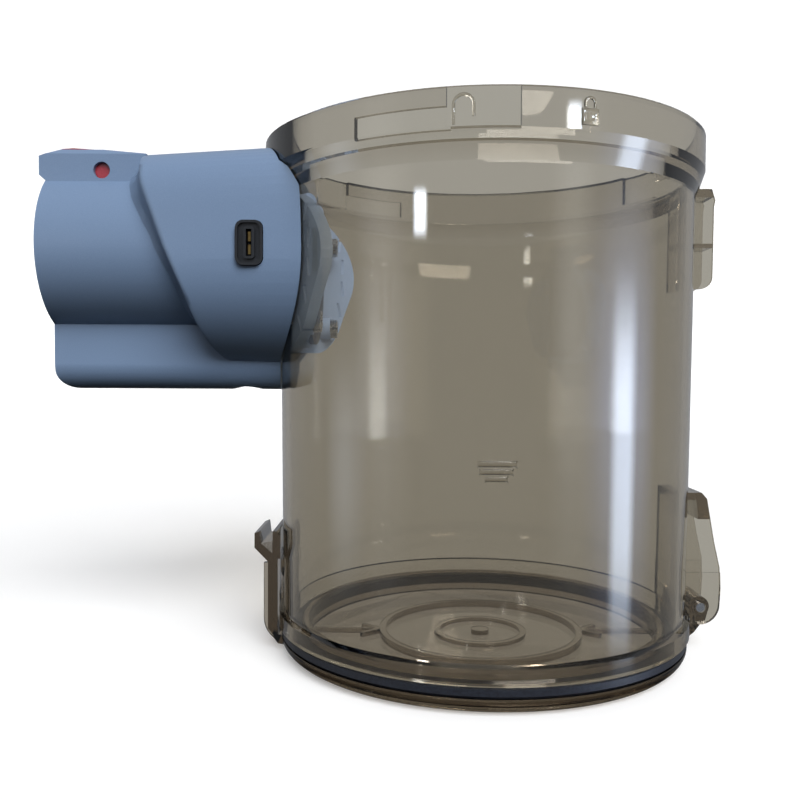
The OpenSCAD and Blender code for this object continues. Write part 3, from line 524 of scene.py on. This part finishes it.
for name, sizes in BARS.items():
    fill_bar(name, *sizes)

# %% [markdown]
# ## Marks for open and locked
#
# Each mark on the collar is a small padlock. Its shackle is half of a round wire: a circle is cut
# in half where it meets the collar, filled, extruded up for the first leg, spun half a turn for
# the bow, and extruded down for the second leg. The open lock has one short leg and no body on
# the collar, the locked one sits on a small plate with rounded edges and a hollow in it.

# %% Lock marks
WIRE = 0.34 * MM
WIRE_SIDES = 16
BOW_STEPS = 12
PLATE_MARGIN = 0.9 * MM
HOLLOW_SLOPE = 0.15 * MM
HOLLOW_DEPTH = 0.12 * MM
PLATE_ROUND = 0.08 * MM
PLATE_ROUND_STEPS = 2
FRONT_FACE_FROM = 0.9


def shackle(name, arc_mm, foot_mm, wide_mm, left_leg_mm, right_leg_mm):
    """A bow of half round wire on the collar, from its left foot over to its right one."""
    radius, angle, outward = on_wall(arc_mm, foot_mm)
    centre = outward * radius + Vector((0.0, 0.0, foot_mm * MM))
    left_leg = Vector((0.0, 0.0, left_leg_mm * MM))
    right_leg = Vector((0.0, 0.0, right_leg_mm * MM))
    deselect()
    # turned half a step, so that no corner of the circle lies on the cut
    bpy.ops.mesh.primitive_circle_add(
        vertices=WIRE_SIDES, radius=WIRE,
        location=centre - along_wall(outward) * wide_mm / 2 * MM,
        rotation=(0.0, 0.0, angle + math.pi / WIRE_SIDES))
    bow = bpy.context.object
    bow.name = name
    bpy.ops.object.transform_apply(location=True, rotation=True, scale=True)
    bpy.ops.object.mode_set(mode="EDIT")
    bpy.ops.mesh.select_mode(type="VERT")
    bpy.ops.mesh.select_all(action="SELECT")
    bpy.ops.mesh.bisect(plane_co=centre, plane_no=outward, clear_inner=True)
    bpy.ops.mesh.select_all(action="SELECT")
    bpy.ops.mesh.edge_face_add()
    bpy.ops.mesh.extrude_region_move(TRANSFORM_OT_translate={"value": left_leg})
    bpy.ops.mesh.spin(steps=BOW_STEPS, angle=math.pi, center=centre + left_leg, axis=outward)
    bpy.ops.mesh.extrude_region_move(TRANSFORM_OT_translate={"value": -right_leg})
    bpy.ops.object.mode_set(mode="OBJECT")
    close_up(bow)


def lock_plate(name, arc_mm, foot_mm, wide_mm, high_mm):
    """The body of the padlock: a low plate with rounded edges and a hollow."""
    radius, angle, outward = on_wall(arc_mm, foot_mm)
    middle = outward * (radius + BAR_RISE / 2)
    middle.z = (foot_mm + high_mm / 2) * MM
    deselect()
    bpy.ops.mesh.primitive_cube_add(size=1.0, location=middle, rotation=(0.0, 0.0, angle))
    plate = bpy.context.object
    plate.name = name
    plate.scale = (BAR_RISE, wide_mm * MM, high_mm * MM)
    bpy.ops.object.transform_apply(location=True, rotation=True, scale=True)
    select_faces(plate, lambda normal: normal.dot(outward) > FRONT_FACE_FROM)
    bpy.ops.mesh.inset(thickness=PLATE_MARGIN, depth=0.0)
    bpy.ops.mesh.inset(thickness=HOLLOW_SLOPE, depth=-HOLLOW_DEPTH)
    bpy.ops.mesh.select_all(action="SELECT")
    bpy.ops.mesh.bevel(offset=PLATE_ROUND, segments=PLATE_ROUND_STEPS, affect="EDGES")
    bpy.ops.object.mode_set(mode="OBJECT")
    close_up(plate)


shackle("open_mark", -8.95, 121.6, 4.1, 3.9, 2.4)
shackle("locked_bow", 16.1, 125.5, 2.2, 0.9, 0.9)
lock_plate("locked_plate", 16.1, 121.9, 3.8, 3.4)

# %% [markdown]
# ## Floor and backdrop
#
# A product photographer stands the object on a sheet of pale paper that curves up behind it, so
# that no horizon shows. The sheet starts as one flat face: its back edge is extruded again and
# again, each time a little further up the curve.
#
# Through the cup the photograph shows a duller room than beside it. So a ray that has passed the
# plastic sees the paper, and later the world, in one dull tone.

# %% Backdrop
# lengths in metres
SWEEP_WIDTH = 4.0
SWEEP_FRONT = -0.9
SWEEP_BACK = 0.75
SWEEP_RADIUS = 0.5
SWEEP_STEPS = 16
SWEEP_RISE = 1.5
BACK_EDGE_SLACK = 0.01
SWEEP_SMOOTH_BELOW = math.radians(30.0)
PAPER_DARK = "#E4E4E4"
PAPER_LIGHT = "#EAEAEA"
PAPER_FIBRES = 40.0
PAPER_GLOW = 0.30
PAPER_ROUGHNESS = 0.9
ROOM_TONE = "#BDBDB9"

deselect()
bpy.ops.mesh.primitive_plane_add(size=1.0, location=(0.0, (SWEEP_FRONT + SWEEP_BACK) / 2, 0.0))
sweep = bpy.context.object
sweep.name = "paper_sweep"
sweep.scale = (SWEEP_WIDTH, SWEEP_BACK - SWEEP_FRONT, 1.0)
bpy.ops.object.transform_apply(location=True, rotation=True, scale=True)
bpy.ops.object.mode_set(mode="EDIT")
bpy.ops.mesh.select_mode(type="EDGE")
bpy.ops.mesh.select_all(action="DESELECT")
bpy.ops.object.mode_set(mode="OBJECT")
for edge in sweep.data.edges:
    ends = [sweep.data.vertices[i].co.y for i in edge.vertices]
    edge.select = min(ends) > SWEEP_BACK - BACK_EDGE_SLACK
bpy.ops.object.mode_set(mode="EDIT")
for step in range(SWEEP_STEPS):
    low = math.radians(90.0 * step / SWEEP_STEPS)
    high = math.radians(90.0 * (step + 1) / SWEEP_STEPS)
    move = (0.0, SWEEP_RADIUS * (math.sin(high) - math.sin(low)),
            SWEEP_RADIUS * (math.cos(low) - math.cos(high)))
    bpy.ops.mesh.extrude_region_move(TRANSFORM_OT_translate={"value": move})
bpy.ops.mesh.extrude_region_move(TRANSFORM_OT_translate={"value": (0.0, 0.0, SWEEP_RISE)})
bpy.ops.object.mode_set(mode="OBJECT")
bpy.ops.object.shade_smooth_by_angle(angle=SWEEP_SMOOTH_BELOW)

paper, tree = new_material("pale_paper")
fibres = add(tree, "TexNoise", {"Scale": PAPER_FIBRES, "Detail": 3.0},
             {"Vector": add(tree, "TexCoord").outputs["Object"]})
tone = add(tree, "Mix", {6: linear(PAPER_DARK), 7: linear(PAPER_LIGHT)},
           {0: fibres.outputs["Fac"]}, data_type="RGBA")
sheet = add(tree, "BsdfPrincipled",
            {"Roughness": PAPER_ROUGHNESS, "Emission Strength": PAPER_GLOW},
            {"Base Color": tone.outputs[2], "Emission Color": tone.outputs[2]})
ray = add(tree, "LightPath")
dull = add(tree, "Emission", {"Color": linear(ROOM_TONE), "Strength": 1.0})
seen = mix_shaders(tree, ray.outputs["Is Transmission Ray"], sheet.outputs["BSDF"],
                   dull.outputs["Emission"])
add(tree, "OutputMaterial", None, {"Surface": seen})
sweep.data.materials.append(paper)
# the paper shows and takes the shadow, but doesn't light the underside of the coupling
sweep.visible_diffuse = False
sweep.visible_glossy = False
print("backdrop faces:", len(sweep.data.polygons))

# %% [markdown]
# ## Lamps
#
# The photograph has daylight from windows: tall bright shapes in the cup's gloss on the right,
# fainter ones on the left, and light from above on the coupling, whose underside is almost black.
# Seven softboxes make the reflections, five as windows and two as pale curtains. Each fades toward
# its edges, and all are left out of the diffuse light. A soft sun from above and from the camera's
# side lights the surfaces, and it is left out of the reflections.

# %% Lamps
def edge_fade(tree, place, fade):
    """1 in the middle of a lamp, and down to 0 at its edge, along one of its sides."""
    offset = add(tree, "Math", {1: 0.5}, {0: place}, operation="SUBTRACT")
    side = add(tree, "Math", None, {0: offset.outputs[0]}, operation="ABSOLUTE")
    return add(tree, "MapRange", {"From Min": 0.5, "From Max": 0.5 - fade},
               {"Value": side.outputs[0]}, interpolation_type="SMOOTHSTEP").outputs["Result"]


def softbox(name, place, target, width, height, power, colour, fade):
    """A rectangular lamp that fades to its edges and only shows as a reflection."""
    light = bpy.data.lights.new(name, "AREA")
    light.shape = "RECTANGLE"
    light.size = width
    light.size_y = height
    light.energy = power
    light.color = linear(colour)[:3]
    light.use_nodes = True
    tree = light.node_tree
    tree.nodes.clear()
    across = add(tree, "SeparateXYZ", None,
                 {0: add(tree, "NewGeometry").outputs["Parametric"]})
    both = add(tree, "Math", None, {0: edge_fade(tree, across.outputs["X"], fade),
                                    1: edge_fade(tree, across.outputs["Y"], fade)},
               operation="MULTIPLY")
    glow = add(tree, "Emission", None, {"Strength": both.outputs[0]})
    add(tree, "OutputLight", None, {"Surface": glow.outputs[0]})
    lamp = bpy.data.objects.new(name, light)
    aim = Vector(target) - Vector(place)
    lamp.matrix_world = (Matrix.Translation(place)
                         @ aim.to_track_quat("-Z", "Y").to_matrix().to_4x4())
    bpy.context.scene.collection.objects.link(lamp)
    lamp.visible_diffuse = False
    lamp.visible_camera = False


# name, place, what it looks at, width and height in metres, watts, colour, share that fades
SOFTBOXES = [
    ("window_right", (0.70, -0.24, -0.035), (0.0, 0.0, -0.035), 0.26, 0.44, 3.0, "#DCEBFF", 0.35),
    ("window_right_wide", (0.72, -0.26, 0.02), (0.0, 0.0, 0.02), 0.80, 0.60, 4.5, "#B8CCFF", 0.5),
    ("window_left", (-0.72, -0.12, -0.04), (0.0, 0.0, -0.04), 0.45, 0.32, 0.6, "#E6F0FF", 0.5),
    ("window_front", (-0.383, -0.515, 0.202), (-0.018, -0.05, 0.102), 0.09, 0.05, 0.25,
     "#E6F0FF", 0.25),
    ("window_high", (0.379, -0.503, 0.276), (0.013, -0.053, 0.120), 0.09, 0.06, 0.42,
     "#E6F0FF", 0.25),
    ("curtain_left", (-0.70, -0.45, 0.10), (0.0, 0.0, 0.09), 0.60, 0.80, 1.6, "#F2F0EC", 0.5),
    ("curtain_right", (0.54, -0.62, 0.10), (0.0, 0.0, 0.09), 0.45, 0.80, 1.3, "#EDF0F2", 0.5),
]
SUN_STRENGTH = 3.85
SUN_WIDTH = math.radians(45.0)
SUN_SHINES = Vector((-0.30, 0.85, -0.72))

for sizes in SOFTBOXES:
    softbox(*sizes)
sun = bpy.data.lights.new("sky_light", "SUN")
sun.energy = SUN_STRENGTH
sun.angle = SUN_WIDTH
sky = bpy.data.objects.new("sky_light", sun)
sky.matrix_world = SUN_SHINES.to_track_quat("-Z", "Y").to_matrix().to_4x4()
sky.visible_glossy = False
bpy.context.scene.collection.objects.link(sky)

# %% [markdown]
# ## World
#
# The world lights the surfaces from above and is dark below. What gloss mirrors is a light room
# down to a little below the horizon. The camera itself sees a plain pale grey, and a ray that has
# passed the cup sees the same dull tone as on the paper.
#
# A ray may cross many clear walls before it gets out, and it would turn black at the usual limit
# of bounces, so the limit is raised.

# %% World and limits of the rays
# heights run from -1, straight down, to 1, straight up
LIT_HEIGHTS = (-0.25, 0.6)
LIT_STRENGTHS = (0.02, 0.32)
MIRRORED_HEIGHTS = (-0.5, -0.1)
MIRRORED_STRENGTHS = (0.02, 0.42)
DAYLIGHT = "#F1F4FA"
SEEN_BACKGROUND = "#EAEAEA"
SEEN_STRENGTH = 0.9
MOST_BOUNCES = 28

world = bpy.data.worlds.new("studio")
world.use_nodes = True
bpy.context.scene.world = world
tree = world.node_tree
tree.nodes.clear()
height = add(tree, "SeparateXYZ", None, {0: add(tree, "TexCoord").outputs["Generated"]})
lit = remap(tree, height.outputs["Z"], LIT_HEIGHTS, LIT_STRENGTHS)
mirrored = remap(tree, height.outputs["Z"], MIRRORED_HEIGHTS, MIRRORED_STRENGTHS)
ray = add(tree, "LightPath")
strength = add(tree, "Mix", None, {0: ray.outputs["Is Glossy Ray"], 2: lit, 3: mirrored},
               data_type="FLOAT")
room = add(tree, "Background", {"Color": linear(DAYLIGHT)}, {"Strength": strength.outputs[0]})
pale = add(tree, "Background", {"Color": linear(SEEN_BACKGROUND), "Strength": SEEN_STRENGTH})
dull = add(tree, "Background", {"Color": linear(ROOM_TONE), "Strength": 1.0})
seen = mix_shaders(tree, ray.outputs["Is Camera Ray"], room.outputs[0], pale.outputs[0])
behind = mix_shaders(tree, ray.outputs["Is Transmission Ray"], seen, dull.outputs[0])
add(tree, "OutputWorld", None, {"Surface": behind})
scene = bpy.context.scene
scene.view_settings.view_transform = "Standard"
scene.cycles.max_bounces = MOST_BOUNCES
scene.cycles.transmission_bounces = MOST_BOUNCES
print("bounces:", scene.cycles.max_bounces, "view:", scene.view_settings.view_transform)
